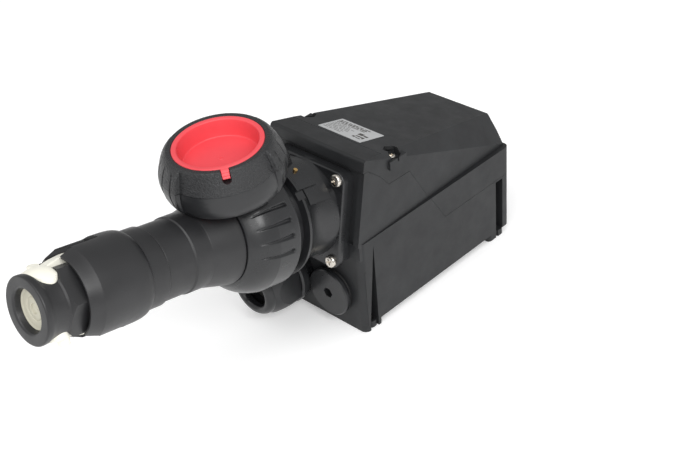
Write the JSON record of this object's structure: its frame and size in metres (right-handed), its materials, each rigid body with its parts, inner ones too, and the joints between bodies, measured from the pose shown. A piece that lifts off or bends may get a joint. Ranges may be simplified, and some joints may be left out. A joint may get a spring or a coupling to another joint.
{
  "type": "industrial plug and socket outlet box",
  "caption": "Wall-mounted black plastic power outlet box with a tilted round socket, an open hinged red-centred cap, a large inserted cable plug, a cable gland and a blanked entry.",
  "frame": {"origin": "centre of the four mounting holes, on the back face that goes against the wall", "axes": "+Z away from the wall, -Y towards the socket and plug along the box, +X to the right seen from the socket end with the wall below"},
  "size_m": [0.1385, 0.5634, 0.2573],
  "materials": {
    "housing_black": "fine satin grain",
    "cover_black": "fine satin grain",
    "fitting_black": "satin gloss moulding",
    "plug_black": "fine satin grain",
    "signal_red": "satin gloss moulding",
    "ivory_plastic": "plain moulding",
    "grey_plastic": "plain moulding",
    "steel": "bright stainless",
    "brass": "machined",
    "seal_rubber": "matt",
    "label_silver": "printed silver film"
  },
  "bodies": {
    "enclosure": {"enclosure_base": "housing_black", "lid_gasket": "seal_rubber", "terminal_rail": "steel", "terminal_blocks": "grey_plastic", "terminal_screws": "steel", "earth_bar": "brass", "switch_block": "grey_plastic", "switch_posts": "steel", "flange_gasket": "seal_rubber", "socket_housing": "fitting_black", "flange_screws": "steel", "index_pin": "brass", "gland_body": "fitting_black", "gland_seal": "seal_rubber", "blanking_plug": "fitting_black", "blanking_seal": "seal_rubber"},
    "lid": {"lid_cover": "cover_black", "lid_screws": "steel", "rating_label": "label_silver"},
    "cap_arm": {"cap_arm": "fitting_black", "hinge_pin": "steel"},
    "cap": {"cap_cover": "fitting_black", "cap_centre": "signal_red", "cap_seal": "seal_rubber"},
    "switch_insert": {"contact_carrier": "grey_plastic", "socket_contacts": "brass"},
    "plug": {"plug_shroud": "plug_black", "plug_seal": "seal_rubber", "plug_pin_carrier": "grey_plastic", "plug_pins": "brass", "plug_handle": "plug_black", "plug_rear_shell": "plug_black", "plug_clamp_body": "plug_black", "clamp_jaws": "ivory_plastic", "clamp_screws": "steel", "cable_seal": "ivory_plastic"},
    "coupling_ring": {"plug_coupling_ring": "fitting_black"},
    "gland_nut": {"gland_cap_nut": "fitting_black"}
  },
  "joints": [
    {"name": "lift_lid", "type": "slide", "parent": "enclosure", "child": "lid", "axis": [0, 0, 1], "range_m": [0, 0.06]},
    {"name": "cap_hinge", "type": "hinge", "parent": "enclosure", "child": "cap_arm", "pos_m": [0, -0.149, 0.2101], "axis": [-1, 0, 0], "range_deg": [0, 12.5]},
    {"name": "cap_turn", "type": "hinge", "parent": "cap_arm", "child": "cap", "pos_m": [0, -0.2177, 0.254], "axis": [0, -0.0767, 0.9971], "range_deg": [0, 45]},
    {"name": "plug_turn", "type": "hinge", "parent": "enclosure", "child": "switch_insert", "pos_m": [0, -0.1165, 0.1341], "axis": [0, -0.9799, 0.1994], "range_deg": [0, 45]},
    {"name": "plug_slide", "type": "slide", "parent": "switch_insert", "child": "plug", "axis": [0, -0.9799, 0.1994], "range_m": [0, 0.06]},
    {"name": "ring_turn", "type": "hinge", "parent": "plug", "child": "coupling_ring", "pos_m": [0, -0.1165, 0.1341], "axis": [0, -0.9799, 0.1994], "range_deg": [0, 60]},
    {"name": "gland_nut_turn", "type": "hinge", "parent": "enclosure", "child": "gland_nut", "pos_m": [-0.0375, -0.1165, 0.042], "axis": [0, -1, 0], "continuous": true}
  ],
  "couplings": [
    {"joint": "cap_hinge", "follows": "plug_slide", "rad_per_m": 3.6}
  ]
}
